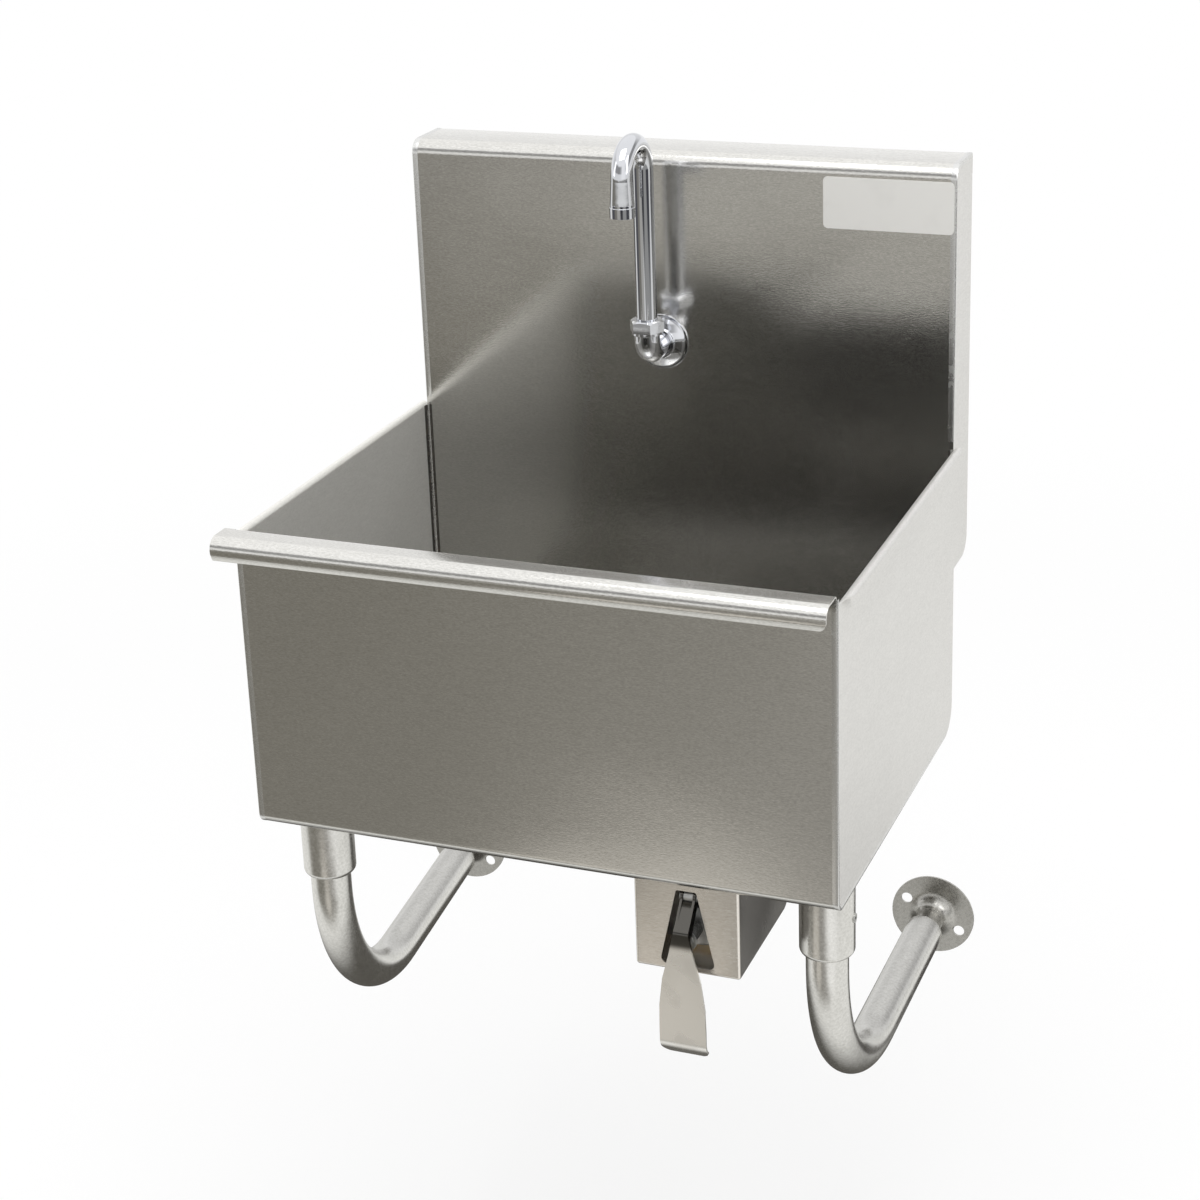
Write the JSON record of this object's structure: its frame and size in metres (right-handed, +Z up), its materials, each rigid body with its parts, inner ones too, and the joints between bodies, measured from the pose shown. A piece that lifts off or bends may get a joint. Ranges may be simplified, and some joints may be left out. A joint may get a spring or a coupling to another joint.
{
  "type": "wall-mounted hand sink with knee valve",
  "caption": "Wall-hung stainless hand sink with rolled rim, tall splash, swivel gooseneck faucet, knee pedal valve behind a shroud and two bent tube legs to the wall.",
  "frame": {"origin": "centre of the wall hanger's back face, on the wall and 62 mm below the top of the splash", "axes": "+Y into the wall, +Z up, +X to the right as seen by a user who faces the sink"},
  "size_m": [0.5626, 0.4475, 0.8061],
  "materials": {
    "brushed_sheet": "satin, long horizontal grain",
    "brushed_tube": "satin",
    "plain_steel": "mill finish",
    "chrome": "polished plate",
    "polished_steel": "polished",
    "brass": "machined",
    "rubber": "matt",
    "white_plastic": "matt",
    "label_film": "semi-gloss film"
  },
  "bodies": {
    "root": {"bowl_sheet": "brushed_sheet", "end_panel_left": "brushed_sheet", "end_panel_right": "brushed_sheet", "splash_return_left": "brushed_sheet", "splash_return_right": "brushed_sheet", "wall_hanger": "plain_steel", "hanger_clip": "plain_steel", "blank_label": "label_film", "drain_body": "polished_steel", "drain_strainer": "polished_steel", "strainer_knob": "polished_steel", "drain_gasket": "rubber", "drain_locknut": "plain_steel", "tailpiece": "chrome", "slip_nut": "chrome", "faucet_flange": "chrome", "faucet_elbow": "chrome", "shank_washer": "rubber", "shank_locknut": "brass", "spout_nut": "chrome", "spout_washer": "white_plastic", "spout_oring": "rubber", "valve_shroud": "brushed_sheet", "shroud_studs": "plain_steel", "shroud_nuts": "plain_steel", "valve_bracket": "plain_steel", "valve_body": "brass", "valve_bonnet": "plain_steel", "stem_seal": "rubber", "inlet_nipple_hot": "brass", "inlet_nipple_cold": "brass", "outlet_nipple": "brass", "pivot_pin": "plain_steel", "pivot_clip": "plain_steel", "leg_socket_left": "brushed_tube", "leg_socket_right": "brushed_tube", "socket_screws": "plain_steel", "leg_tube_left": "brushed_tube", "leg_tube_right": "brushed_tube", "leg_flange_left": "brushed_tube", "leg_flange_right": "brushed_tube"},
    "pedal": {"knee_pedal": "polished_steel"},
    "stem": {"valve_stem": "plain_steel", "seat_disc": "rubber", "disc_screw": "brass", "spring_washer": "plain_steel", "stem_clip": "plain_steel", "return_spring": "plain_steel"},
    "spout": {"spout_tube": "chrome", "aerator_shell": "chrome", "aerator_insert": "white_plastic"}
  },
  "joints": [
    {"name": "pedal_hinge", "type": "hinge", "parent": "root", "child": "pedal", "pos_m": [0.1215, -0.395, -0.464], "axis": [1, 0, 0], "range_deg": [0, 10], "stiffness_Nm_per_rad": 1.8, "springref_deg": -5.73},
    {"name": "stem_slide", "type": "slide", "parent": "root", "child": "stem", "axis": [0, 1, 0], "range_m": [0, 0.0058], "deforming": ["return_spring"]},
    {"name": "spout_swivel", "type": "hinge", "parent": "root", "child": "spout", "pos_m": [-0.0147, -0.094, 0], "axis": [0, 0, 1], "range_deg": [-120, 120]}
  ],
  "couplings": [
    {"joint": "stem_slide", "follows": "pedal_hinge", "m_per_rad": 0.0325}
  ]
}
